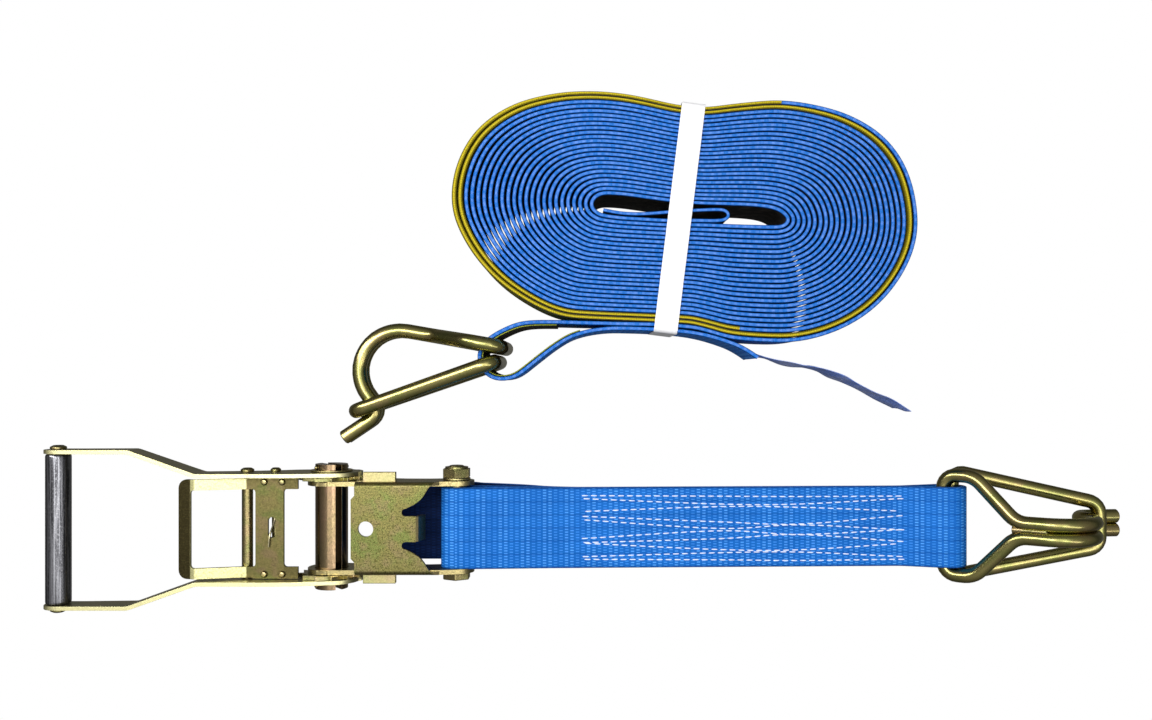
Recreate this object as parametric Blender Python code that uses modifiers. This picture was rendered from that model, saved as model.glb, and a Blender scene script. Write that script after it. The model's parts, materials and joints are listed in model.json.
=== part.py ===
"""Ratchet tie-down for 50 mm webbing, in two halves laid out on the ground.

Half A is a ratchet buckle with a short sewn strap and a wire hook with a captive keeper.
Half B is a long strap wound into a flat coil, held by a band, with a second hook on its end loop.

Lengths are millimetres and are scaled to metres as the meshes are made. +Z is up.
The world origin is on the ground below the middle of the whole layout.
The ratchet's own coordinates start on the spindle axis; x runs towards the short strap's hook.
"""
import math

import bmesh
import bpy
from mathutils import Matrix, Vector

MM = 0.001

# Driving dimensions
STRAP_WIDTH = 50.0
STRAP_THICKNESS = 2.3
STRAP_HALF = STRAP_WIDTH / 2
GAP = 0.3
SPINDLE_AXIS = (-162.5, -105.6, 20.3)
COIL_CENTRE = (57.1, 83.3, 0.0)

# Ratchet frame
CHEEK_INNER = 25.6
CHEEK_OUTER = 28.4
PLATE = CHEEK_OUTER - CHEEK_INNER
WEB_TOP = 16.2
BOLT_X = 77.7
BOLT_Z = -0.3
BOLT_RADIUS = 5.0
BOLT_END_RADIUS = 11.0
SLEEVE_RADIUS = 6.0

# Spindle and ratchet wheels
SHAFT_RADIUS = 10.0
SHAFT_HALF_LENGTH = 38.5
SHAFT_SLOT = 4.0
SHAFT_TURN = math.radians(142)
BORE_RADIUS = 10.4
WHEEL_TEETH = 12
WHEEL_TIP = 19.8
WHEEL_ROOT = 15.5
WHEEL_PHASE = math.radians(19.3)
WHEEL_INNER = 28.7
WHEEL_OUTER = 31.1
PIN_Y = 36.4
PIN_RADIUS = 1.3

# Frame pawl, drawn in its released place
EAR_X = (21.4, 41.4)
EAR_Z = (6.7, 10.7)
EAR_HALF_WIDTH = 34.1
PAWL_TRAVEL = 4.5

# Handle
ARM_INNER = 31.4
ARM_OUTER = 33.8
ARM_THICKNESS = ARM_OUTER - ARM_INNER
ARM_TOP = 21.5
WIDE_ARM_INNER = 45.9
GRIP_X = -163.6
GRIP_Z = 13.2
GRIP_RADIUS = 7.4
CROSSBAR_X = -50.9
CROSSBAR_Z = 4.9
CROSSBAR_RADIUS = 3.4
GUIDE_X = -33.8
GUIDE_Z = 3.5
GUIDE_RADIUS = 2.4

# Drive pawl
PAWL_HALF_WIDTH = 31.0
PAWL_MID_Z = 9.95
PAWL_THICKNESS = 2.5
PAWL_TIP_X = -18.2
LOOP_HALF_WIDTH = 30.2
LOOP_INNER = 23.7
STUD_XY = ((-38.7, 28.2), (-27.8, 28.2))

# Hooks and keepers: x runs out along the keeper, z towards the hook's shank
WIRE_RADIUS = 4.35
HOOK_BAR = (-6.6, 6.7)
HOOK_SLOPE = 0.5585
POCKET_INNER = 9.4
POCKET_OUTER = POCKET_INNER + STRAP_THICKNESS
HOOK_PIVOT = (HOOK_BAR[0] / 2, 0.0, HOOK_BAR[1] / 2)
HOOK_A_LIFT = math.radians(6.3)
POCKET_A = (385.9, 0.0, -8.6)
HOOK_B_TURN = math.radians(199.2)
POCKET_B = (-112.0, -83.5, 36.7)

# Coil of the long strap
COIL_LOW = 0.8
COIL_HIGH = COIL_LOW + STRAP_WIDTH
LOOP_RISE = 11.0
BAND_WIDTH = 14.0
BAND_THICKNESS = 0.5

PLANES = {
    "X": (Vector((0, 1, 0)), Vector((0, 0, 1)), Vector((1, 0, 0))),
    "Y": (Vector((1, 0, 0)), Vector((0, 0, 1)), Vector((0, 1, 0))),
    "Z": (Vector((1, 0, 0)), Vector((0, 1, 0)), Vector((0, 0, 1))),
}

LOOKS = {
    "zinc": ((0.55, 0.47, 0.20), 0.34, 1.0),
    "zinc_dark": ((0.33, 0.27, 0.13), 0.32, 1.0),
    "grip": ((0.10, 0.10, 0.11), 0.38, 0.3),
    "webbing": ((0.02, 0.20, 0.72), 0.75, 0.0),
    "label": ((0.16, 0.30, 0.62), 0.60, 0.0),
    "band": ((0.92, 0.92, 0.92), 0.50, 0.0),
}


# ---------------------------------------------------------------- scene and helpers

def clear_scene():
    for obj in list(bpy.data.objects):
        bpy.data.objects.remove(obj)
    for name in ("ratchet_tie_down", "cutters"):
        collection = bpy.data.collections.new(name)
        bpy.context.scene.collection.children.link(collection)


def make_looks():
    materials = {}
    for name, (colour, roughness, metallic) in LOOKS.items():
        material = bpy.data.materials.new(name)
        material.use_nodes = True
        shader = material.node_tree.nodes["Principled BSDF"]
        shader.inputs["Base Color"].default_value = (*colour, 1.0)
        shader.inputs["Roughness"].default_value = roughness
        shader.inputs["Metallic"].default_value = metallic
        materials[name] = material
    return materials


def make_group(name, location, rotation=Matrix.Identity(3), parent=None):
    """An empty that carries the pieces of one group; its place is in millimetres."""
    empty = bpy.data.objects.new(name, None)
    empty.empty_display_size = 0.01
    bpy.data.collections["ratchet_tie_down"].objects.link(empty)
    empty.parent = parent
    empty.matrix_basis = Matrix.Translation(Vector(location) * MM) @ rotation.to_4x4()
    return empty


def add_mesh(name, mesh, group, look, smooth=True):
    """Weld a mesh, turn its faces outwards and put it in the part, or with the cutters."""
    work = bmesh.new()
    work.from_mesh(mesh)
    bmesh.ops.remove_doubles(work, verts=work.verts, dist=1e-6)
    if all(edge.is_manifold for edge in work.edges):
        bmesh.ops.recalc_face_normals(work, faces=work.faces)
    work.to_mesh(mesh)
    work.free()
    obj = bpy.data.objects.new(name, mesh)
    if look is None:
        bpy.data.collections["cutters"].objects.link(obj)
        obj.hide_render = True
        obj.display_type = "WIRE"
    else:
        bpy.data.collections["ratchet_tie_down"].objects.link(obj)
        mesh.materials.clear()
        mesh.materials.append(MATERIALS[look])
    obj.parent = group
    if smooth:
        mesh.shade_smooth()
        mesh.set_sharp_from_angle(angle=math.radians(35))
    return obj


def mesh_from_curve(name, curve, frame):
    """The evaluated mesh of a curve, moved by a frame; the curve itself is removed."""
    guide = bpy.data.objects.new(name + "_guide", curve)
    bpy.context.scene.collection.objects.link(guide)
    depsgraph = bpy.context.evaluated_depsgraph_get()
    mesh = bpy.data.meshes.new_from_object(guide.evaluated_get(depsgraph))
    bpy.data.objects.remove(guide)
    bpy.data.curves.remove(curve)
    mesh.name = name
    mesh.transform(frame)
    return mesh


def prism(name, loops, low, high, axis, group, look=None):
    """A flat outline, with any inner loops as holes, extruded from low to high along an axis."""
    curve = bpy.data.curves.new(name, "CURVE")
    curve.dimensions = "2D"
    curve.fill_mode = "BOTH"
    curve.extrude = (high - low) / 2 * MM
    for loop in loops:
        spline = curve.splines.new("POLY")
        spline.points.add(len(loop) - 1)
        for point, (u, v) in zip(spline.points, loop):
            point.co = (u * MM, v * MM, 0, 1)
        spline.use_cyclic_u = True
    u_axis, v_axis, along = PLANES[axis]
    frame = Matrix((u_axis, v_axis, u_axis.cross(v_axis))).transposed().to_4x4()
    frame.translation = along * ((low + high) / 2 * MM)
    return add_mesh(name, mesh_from_curve(name, curve, frame), group, look)


def strip(name, path, low, high, axis, thickness, group, look, closed=False, rise=None):
    """Sheet bent along a flat path: the path extruded along an axis and thickened evenly."""
    u_axis, v_axis, along = PLANES[axis]
    work = bmesh.new()
    rows = [[], []]
    for u, v in path:
        place = u_axis * u + v_axis * v
        if rise:
            place = place + along * rise(u)
        rows[0].append(work.verts.new((place + along * low) * MM))
        rows[1].append(work.verts.new((place + along * high) * MM))
    count = len(path)
    for i in range(count if closed else count - 1):
        j = (i + 1) % count
        work.faces.new((rows[0][i], rows[0][j], rows[1][j], rows[1][i]))
    mesh = bpy.data.meshes.new(name)
    work.to_mesh(mesh)
    work.free()
    obj = add_mesh(name, mesh, group, look)
    solid = obj.modifiers.new("thickness", "SOLIDIFY")
    solid.thickness = thickness * MM
    solid.offset = 0
    solid.use_even_offset = True
    return obj


def turned(name, profile, centre, axis, group, look=None, steps=24):
    """A profile of (radius, distance) pairs, first end to last, spun about an axis."""
    u_axis, v_axis, along = PLANES[axis]
    work = bmesh.new()
    verts = [work.verts.new((radius * MM, 0, distance * MM)) for radius, distance in profile]
    for first, second in zip(verts, verts[1:]):
        work.edges.new((first, second))
    bmesh.ops.spin(work, geom=work.verts[:] + work.edges[:], cent=(0, 0, 0), axis=(0, 0, 1),
                   angle=math.tau, steps=steps, use_merge=True)
    frame = Matrix((v_axis.cross(along), v_axis, along)).transposed().to_4x4()
    frame.translation = Vector(centre) * MM
    mesh = bpy.data.meshes.new(name)
    work.to_mesh(mesh)
    work.free()
    mesh.transform(frame)
    return add_mesh(name, mesh, group, look)


def wire(name, points, radius, group, look, closed=False, sides=2):
    """Round wire along a row of points."""
    curve = bpy.data.curves.new(name, "CURVE")
    curve.dimensions = "3D"
    curve.bevel_depth = radius * MM
    curve.bevel_resolution = sides
    curve.use_fill_caps = not closed
    spline = curve.splines.new("POLY")
    spline.points.add(len(points) - 1)
    for point, place in zip(spline.points, points):
        point.co = (*(Vector(place) * MM), 1)
    spline.use_cyclic_u = closed
    return add_mesh(name, mesh_from_curve(name, curve, Matrix.Identity(4)), group, look)


def combine(obj, other, operation):
    """Join, cut or intersect with a helper solid, which goes with the cutters."""
    step = obj.modifiers.new(operation.lower(), "BOOLEAN")
    step.operation = operation
    step.solver = "EXACT"
    step.object = other


def arc(centre, radius, start, end, steps):
    """Points on an arc, angles in degrees."""
    turns = [math.radians(start + (end - start) * i / steps) for i in range(steps + 1)]
    return [(centre[0] + radius * math.cos(t), centre[1] + radius * math.sin(t)) for t in turns]


def circle(centre, radius, steps=24):
    return arc(centre, radius, 0, 360 - 360 / steps, steps - 1)


def rounded(corners, radii, closed=False, steps=4):
    """A path through corner points with each corner replaced by an arc of its own radius."""
    count = len(corners)
    flat = len(corners[0]) == 2
    places = [Vector((*corner, 0)) if flat else Vector(corner) for corner in corners]
    path = []
    for i, (corner, radius) in enumerate(zip(places, radii)):
        if radius == 0 or (not closed and i in (0, count - 1)):
            path.append(corner)
            continue
        before = (places[i - 1] - corner).normalized()
        after = (places[(i + 1) % count] - corner).normalized()
        half = before.angle(after) / 2
        middle = corner + (before + after).normalized() * (radius / math.sin(half))
        first = corner + before * (radius / math.tan(half)) - middle
        last = corner + after * (radius / math.tan(half)) - middle
        sweep = first.angle(last)
        for k in range(steps + 1):
            share = k / steps
            weight_first = math.sin((1 - share) * sweep) / math.sin(sweep)
            weight_last = math.sin(share * sweep) / math.sin(sweep)
            path.append(middle + first * weight_first + last * weight_last)
    return [(p.x, p.y) for p in path] if flat else path


def smooth(points, steps, closed=False):
    """Points along a smooth curve through the given points."""
    count = len(points)
    places = [Vector(p) for p in points]
    path = []
    for i in range(count if closed else count - 1):
        p1 = places[i]
        p2 = places[(i + 1) % count]
        p0 = places[i - 1] if closed or i > 0 else p1 * 2 - p2
        p3 = places[(i + 2) % count] if closed or i + 2 < count else p2 * 2 - p1
        for k in range(steps):
            t = k / steps
            path.append(0.5 * (2 * p1 + (p2 - p0) * t + (2 * p0 - 5 * p1 + 4 * p2 - p3) * t * t
                               + (3 * p1 - p0 - 3 * p2 + p3) * t ** 3))
    if not closed:
        path.append(places[-1])
    return [tuple(p) for p in path]


# ---------------------------------------------------------------- half A: frame and spindle

def build_frame(group):
    """U-shaped pressing with its web on top, two cheeks, pawl slots and a spring tongue."""
    half = CHEEK_OUTER - PLATE / 2
    top = WEB_TOP - PLATE / 2
    section = rounded([(-half, -16), (-half, top), (half, top), (half, -16)], [0, 1.8, 1.8, 0])
    frame = strip("frame", section, -20, 95, "X", PLATE, group, "zinc")

    side = arc((0, 0), 14.5, 84, 262, 16)
    side += [(30, -12.4), (46, -8.8), (60, -8.4)]
    side += arc((BOLT_X, BOLT_Z), BOLT_END_RADIUS, -112, 75, 14)
    side += [(68.5, 12.4), (63.1, WEB_TOP + 0.5), (12.5, WEB_TOP + 0.5)]
    combine(frame, prism("side_outline", [side], -40, 40, "Y", group), "INTERSECT")

    right_edge = [(80, 26.2), (63.1, 26.2)]
    right_edge += smooth([(63.1, 26.2), (58.4, 19.0), (54.1, 15.3), (48.5, 12.4)], 4)[1:]
    right_edge += arc((48.3, 10.1), 2.3, 90, 270, 8)
    right_edge += [(54.6, 7.8)]
    right_edge += [(x, -y) for x, y in reversed(right_edge)]
    combine(frame, prism("web_edge", [right_edge], 12.0, 20, "Z", group), "DIFFERENCE")
    for sign in (1, -1):
        corner = [(0, 30 * sign), (17.2, 30 * sign), (17.2, 20.3 * sign), (15.1, 18 * sign),
                  (0, 18 * sign)]
        combine(frame, prism("web_corner", [corner], 12.9, 20, "Z", group), "DIFFERENCE")
    end = [(-16, CHEEK_INNER + 0.1), (0, CHEEK_INNER + 0.1), (0, 19), (15.1, 19)]
    end += [(x, -y) for x, y in reversed(end)]
    combine(frame, prism("web_end", [end], 12.9, 20, "Z", group), "DIFFERENCE")
    combine(frame, prism("web_hole", [circle((24.1, 0), 4.7)], 10, 20, "Z", group), "DIFFERENCE")
    bores = ((0, 0, BORE_RADIUS, 32), (BOLT_X, BOLT_Z, BOLT_RADIUS + 0.2, 20))
    for x, z, radius, steps in bores:
        bore = prism("cheek_bore", [circle((x, z), radius, steps)], -40, 40, "Y", group)
        combine(frame, bore, "DIFFERENCE")
    low_x = EAR_X[0] - PAWL_TRAVEL - 0.5
    high_x = EAR_X[1] + 0.5
    slot = [(low_x, EAR_Z[0] - 0.3), (high_x, EAR_Z[0] - 0.3), (high_x, EAR_Z[1] + 0.3),
            (low_x, EAR_Z[1] + 0.3)]
    combine(frame, prism("pawl_slot", [slot], -40, 40, "Y", group), "DIFFERENCE")

    under = WEB_TOP - PLATE
    tongue = [(50, under), (53.6, under), (56.4, 4.4), (59.0, 5.2), (56.0, WEB_TOP - 1.2),
              (54.4, WEB_TOP), (50, WEB_TOP)]
    combine(frame, prism("tongue", [tongue], -7.6, 7.6, "Y", group), "UNION")
    return frame


def build_frame_pawl(group, spring_group):
    """Plate that slides in the cheek slots; its ears drop into the teeth of both wheels."""
    inner = 23.8
    outline = [(EAR_X[0], inner), (EAR_X[0], EAR_HALF_WIDTH), (EAR_X[1], EAR_HALF_WIDTH)]
    outline += [(x, -y) for x, y in reversed(outline)]
    outline += rounded([(EAR_X[0], -inner), (31, -inner), (31, inner), (EAR_X[0], inner)],
                       [0, 3, 3, 0])[1:-1]
    prism("frame_pawl", [outline], EAR_Z[0], EAR_Z[1], "Z", group, "zinc")
    start = EAR_X[1] + GAP + 0.6
    length = 12.0
    turns = 5
    steps = turns * 10
    coil = []
    for i in range(steps + 1):
        turn = math.tau * turns * i / steps
        x = start + length * i / steps
        coil.append((x, 2.9 * math.cos(turn), 8.7 + 2.9 * math.sin(turn)))
    wire("frame_pawl_spring", coil, 0.55, spring_group, "zinc", sides=1)


def build_bolt(group):
    """Anchor bolt across the frame with its lock nut, washer and sleeve for the strap."""
    hexagon = [(BOLT_X + 9.2 * math.cos(math.radians(a)), BOLT_Z + 9.2 * math.sin(math.radians(a)))
               for a in range(30, 390, 60)]
    outside = CHEEK_OUTER + GAP
    head = prism("anchor_bolt", [hexagon], -outside - 4.2, -outside, "Y", group, "zinc_dark")
    shank = turned("bolt_shank", [(0, 37.6), (4.2, 37.6), (BOLT_RADIUS, 36.8), (BOLT_RADIUS, -31),
                                  (0, -31)], (BOLT_X, 0, BOLT_Z), "Y", group)
    combine(head, shank, "UNION")
    washer_high = outside + 1.2
    centre = (BOLT_X, BOLT_Z)
    prism("anchor_washer", [circle(centre, 8.6), circle(centre, BOLT_RADIUS + 0.3)],
          outside, washer_high, "Y", group, "zinc")
    hole = circle(centre, BOLT_RADIUS + 0.3)
    nut = prism("anchor_nut", [hexagon, hole], washer_high + GAP, washer_high + 5.6, "Y",
                group, "zinc_dark")
    collar = prism("nut_collar", [circle(centre, 7.2), hole], washer_high + 5, washer_high + 6.8,
                   "Y", group)
    combine(nut, collar, "UNION")
    prism("anchor_sleeve", [circle(centre, SLEEVE_RADIUS), circle(centre, BOLT_RADIUS + 0.3)],
          -CHEEK_INNER + GAP, CHEEK_INNER - GAP, "Y", group, "zinc")


def wheel_outline():
    """Ratchet teeth: a radial locking face, then a back that rises to the next tip."""
    outline = []
    pitch = math.tau / WHEEL_TEETH
    for tooth in range(WHEEL_TEETH):
        tip = WHEEL_PHASE + pitch * tooth
        for share, radius in ((0.0, WHEEL_TIP), (0.02, WHEEL_ROOT + 0.5), (0.06, WHEEL_ROOT),
                              (0.45, 16.9), (0.94, WHEEL_TIP)):
            angle = tip + pitch * share
            outline.append((radius * math.cos(angle), radius * math.sin(angle)))
    return outline


def build_spindle(group):
    """Two half-round shafts with a slot between them, two ratchet wheels, washers and pins."""
    reach = math.degrees(math.acos(SHAFT_SLOT / 2 / SHAFT_RADIUS))
    for index in range(2):
        turn = math.degrees(SHAFT_TURN) + 180 * index
        half_round = arc((0, 0), SHAFT_RADIUS, turn - reach, turn + reach, 18)
        shaft = prism(f"half_shaft_{index + 1}", [half_round], -SHAFT_HALF_LENGTH,
                      SHAFT_HALF_LENGTH, "Y", group, "zinc_dark")
        direction = Vector((math.cos(math.radians(turn)), 0, math.sin(math.radians(turn))))
        for side, y in (("right", -PIN_Y), ("left", PIN_Y)):
            place = Matrix.Translation(Vector((0, y, 0)) * MM)
            place = place @ direction.to_track_quat("Z", "Y").to_matrix().to_4x4()
            hole = turned("pin_hole", [(0, 14), (PIN_RADIUS + 0.25, 14), (PIN_RADIUS + 0.25, 0),
                                       (0, 0)], (0, 0, 0), "Z", group, steps=12)
            hole.data.transform(place)
            combine(shaft, hole, "DIFFERENCE")
            pin = turned(f"shaft_pin_{index + 1}_{side}",
                         [(0, 11.2), (0.8, 11.2), (PIN_RADIUS, 10.7), (PIN_RADIUS, 1.5), (0.8, 1),
                          (0, 1)], (0, 0, 0), "Z", group, "zinc", steps=12)
            pin.data.transform(place)
    teeth = wheel_outline()
    ring = circle((0, 0), BORE_RADIUS, 32)
    for side, low, high in (("left", WHEEL_INNER, WHEEL_OUTER),
                            ("right", -WHEEL_OUTER, -WHEEL_INNER)):
        prism(f"ratchet_wheel_{side}", [teeth, ring], low, high, "Y", group, "zinc")
    for side, low, high in (("left", ARM_OUTER + GAP, ARM_OUTER + 1.1),
                            ("right", -ARM_OUTER - 1.1, -ARM_OUTER - GAP)):
        prism(f"spindle_washer_{side}", [circle((0, 0), 13, 28), circle((0, 0), BORE_RADIUS, 28)],
              low, high, "Y", group, "zinc")


# ---------------------------------------------------------------- half A: handle

def build_handle(group):
    """Two bent arms with cam ends, a tube grip on its rod, a crossbar and a guide pin."""
    side = arc((0, 0), 19.3, -40, 8, 5) + arc((0, 0), 17.8, 12, 88, 8)
    side += [(-9, 18.9), (-20, 20.8), (-31, ARM_TOP)]
    side += [(-160, ARM_TOP)] + arc((GRIP_X, GRIP_Z), 8.25, 84, 276, 8) + [(-150, 5.0)]
    side += [(-83, 1.2), (-63, -1.2), (-48, -3.6), (-36, -6.6), (-24, -11.4)]
    side += arc((0, 0), 17.8, 228, 316, 8)
    holes = ((0, 0, BORE_RADIUS, 32), (CROSSBAR_X, CROSSBAR_Z, 3.0, 16),
             (GUIDE_X, GUIDE_Z, 2.2, 12), (GRIP_X, GRIP_Z, 3.3, 16))
    narrow = ARM_INNER + ARM_THICKNESS / 2
    wide = WIDE_ARM_INNER + ARM_THICKNESS / 2
    for name, sign in (("handle_arm_left", 1), ("handle_arm_right", -1)):
        corners = [(24, narrow * sign), (-77.9, narrow * sign), (-118.6, wide * sign),
                   (-178, wide * sign)]
        path = rounded(corners, [0, 8, 8, 0], steps=3)
        arm = strip(name, path, -25, 30, "Z", ARM_THICKNESS, group, "zinc")
        combine(arm, prism("arm_outline", [side], -60, 60, "Y", group), "INTERSECT")
        for x, z, radius, steps in holes:
            hole = prism("arm_hole", [circle((x, z), radius, steps)], -60, 60, "Y", group)
            combine(arm, hole, "DIFFERENCE")

    grip_end = WIDE_ARM_INNER - GAP
    turned("handle_grip", [(6.7, grip_end), (GRIP_RADIUS, grip_end - 0.7),
                           (GRIP_RADIUS, 0.7 - grip_end), (6.7, -grip_end), (3.4, -grip_end),
                           (3.4, grip_end), (6.7, grip_end)],
           (GRIP_X, 0, GRIP_Z), "Y", group, "grip", steps=32)
    face = WIDE_ARM_INNER + ARM_THICKNESS + GAP
    rivet_bar("grip_rod", GRIP_X, GRIP_Z, 3.0, 3.0, WIDE_ARM_INNER, face, 4.8, group)
    face = ARM_OUTER + GAP
    rivet_bar("handle_crossbar", CROSSBAR_X, CROSSBAR_Z, CROSSBAR_RADIUS, 2.7,
              ARM_INNER - GAP, face, 4.1, group)
    rivet_bar("pawl_guide_pin", GUIDE_X, GUIDE_Z, GUIDE_RADIUS, 1.9,
              ARM_INNER - GAP, face, 3.2, group)


def rivet_bar(name, x, z, radius, neck, shoulder, face, head, group):
    """Bar between the arms with thinner necks through them and a riveted head on each end."""
    half = [(0, face + 2.3), (head * 0.6, face + 2.3), (head, face + 1.3), (head, face),
            (neck, face), (neck, shoulder), (radius, shoulder)]
    profile = half + [(r, -y) for r, y in reversed(half)]
    turned(name, profile, (x, 0, z), "Y", group, "zinc_dark", steps=16)


def build_drive_pawl(group):
    """Bent plate whose two prongs drive the wheels, with a finger loop at the back."""
    path = rounded([(PAWL_TIP_X, PAWL_MID_Z), (-50.8, PAWL_MID_Z), (-79.0, 16.6), (-90.1, 13.6)],
                   [0, 4, 3, 0], steps=3)
    pawl = strip("drive_pawl", path, -35, 35, "Y", PAWL_THICKNESS, group, "zinc")
    outline = [(0, PAWL_HALF_WIDTH), (-45, PAWL_HALF_WIDTH), (-47, LOOP_HALF_WIDTH)]
    outline += arc((-84.5, LOOP_HALF_WIDTH - 5.3), 5.3, 90, 180, 5)
    outline += [(x, -y) for x, y in reversed(outline)]
    combine(pawl, prism("pawl_outline", [outline], -10, 40, "Z", group), "INTERSECT")
    between = rounded([(0, 23.8), (-26.9, 23.8), (-26.9, -23.8), (0, -23.8)], [0, 2, 2, 0])
    window = rounded([(-44.2, LOOP_INNER), (-81.9, LOOP_INNER), (-81.9, -LOOP_INNER),
                      (-44.2, -LOOP_INNER)], [1.8] * 4, closed=True, steps=3)
    slot = arc((-34.1, 4.2), 2.4, 0, 180, 8) + arc((-34.1, -3.6), 2.4, 180, 360, 8)
    for name, loop in (("prong_gap", between), ("loop_window", window), ("pawl_slot_hole", slot)):
        combine(pawl, prism(name, [loop], -10, 40, "Z", group), "DIFFERENCE")
    top = PAWL_MID_Z + PAWL_THICKNESS / 2 + GAP
    under = PAWL_MID_Z - PAWL_THICKNESS / 2 - GAP
    number = 0
    for x, y in STUD_XY:
        for sign in (1, -1):
            number += 1
            combine(pawl, prism("stud_hole", [circle((x, y * sign), 1.3, 12)], 0, 20, "Z", group),
                    "DIFFERENCE")
            turned(f"pawl_stud_{number}",
                   [(0, top + 1.5), (1.4, top + 1.2), (2.2, top), (1.0, top), (1.0, under),
                    (1.8, under), (1.4, under - 0.8), (0, under - 0.8)],
                   (x, y * sign, 0), "Z", group, "zinc", steps=12)
    route = [(-30.0, 22.0, 6.8), (-31.5, 14.0, 7.0), (-33.0, 6.4, 7.2), (-33.8, 2.0, 8.8),
             (-34.6, -2.0, 11.2), (-35.3, -5.5, 12.2), (-35.8, -11.5, 12.1)]
    wire("drive_pawl_spring", smooth(route, 4), 0.6, group, "zinc", sides=1)


# ---------------------------------------------------------------- hooks

def build_hook(letter, group):
    """Double J of one bent wire and its captive keeper, both turning about the strap pocket."""
    prong = WIRE_RADIUS + 0.25
    spread = 29.7
    bar_x, bar_z = HOOK_BAR
    bend = (89.3, 60.3)
    half = [(106, prong, -16.1), (79.0, prong, -6.2), (bend[0], prong, bend[1]),
            (31.5, prong, bar_z + HOOK_SLOPE * (31.5 - bar_x)),
            (9.5, spread, bar_z + HOOK_SLOPE * (9.5 - bar_x)), (bar_x, spread, bar_z)]
    corners = half + [(x, -y, z) for x, y, z in reversed(half)]
    radii = [0, 8, 22.3, 14, 14, 8]
    path = rounded(corners, radii + radii[::-1], steps=5)
    path = densify(path, 14)
    pivot = Vector(HOOK_PIVOT)
    wire(f"double_j_hook_{letter}", [Vector(p) - pivot for p in path], WIRE_RADIUS, group, "zinc")

    corners = [(0, -32, 0), (0, 32, 0), (80, 15.7, 0), (90, 13.8, 0), (90, -13.8, 0),
               (80, -15.7, 0)]
    loop = rounded(corners, [6, 6, 40, 8, 8, 40], closed=True, steps=5)
    keeper = wire(f"keeper_{letter}", loop, WIRE_RADIUS, group, "zinc", closed=True)
    keeper.location = -pivot * MM


def densify(path, longest):
    """Split straight runs so that no step is longer than the given length."""
    places = [Vector(p) for p in path]
    out = [places[0]]
    for first, second in zip(places, places[1:]):
        pieces = max(1, math.ceil((second - first).length / longest))
        for k in range(1, pieces + 1):
            out.append(first.lerp(second, k / pieces))
    return out


# ---------------------------------------------------------------- webbing

def build_short_strap(group):
    """Doubled strap sewn flat between its bolt loop and its hook pocket, and its loose tail."""
    bolt = (BOLT_X, BOLT_Z)
    pocket = (POCKET_A[0], POCKET_A[2])
    sewn_left = (155.9, -2.0)
    sewn_right = (350.9, -7.8)
    bolt_inner = SLEEVE_RADIUS + GAP
    bolt_outer = bolt_inner + STRAP_THICKNESS
    half = STRAP_THICKNESS + 0.05
    outer = arc(bolt, bolt_outer, 84, 273, 14)
    outer += [(sewn_left[0], sewn_left[1] - half), (sewn_right[0], sewn_right[1] - half)]
    outer += arc(pocket, POCKET_OUTER, -107, 104, 16)
    outer += [(sewn_right[0], sewn_right[1] + half), (sewn_left[0], sewn_left[1] + half)]
    bolt_loop = arc(bolt, bolt_inner, 84, 273, 14) + [(sewn_left[0] - 3, sewn_left[1])]
    hook_loop = arc(pocket, POCKET_INNER, -109, 106, 16) + [(sewn_right[0] + 4, sewn_right[1])]
    prism("short_webbing", [outer, bolt_loop, hook_loop], -STRAP_HALF, STRAP_HALF, "Y", group,
          "webbing")
    floor = STRAP_THICKNESS / 2 - SPINDLE_AXIS[2] + 0.05
    tail = smooth([(31.9, floor), (60, floor), (90, floor), (118, floor + 1.5), (140, -10.0),
                   (154, -7.0)], 3)
    strip("webbing_tail", tail, -23.6, 26.4, "Y", STRAP_THICKNESS, group, "webbing")


def loop_rise(x):
    """The end loop climbs from the coil's level to the middle of its hook."""
    share = min(max((-x - 62) / 46, 0), 1)
    return LOOP_RISE * share * share * (3 - 2 * share)


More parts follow.
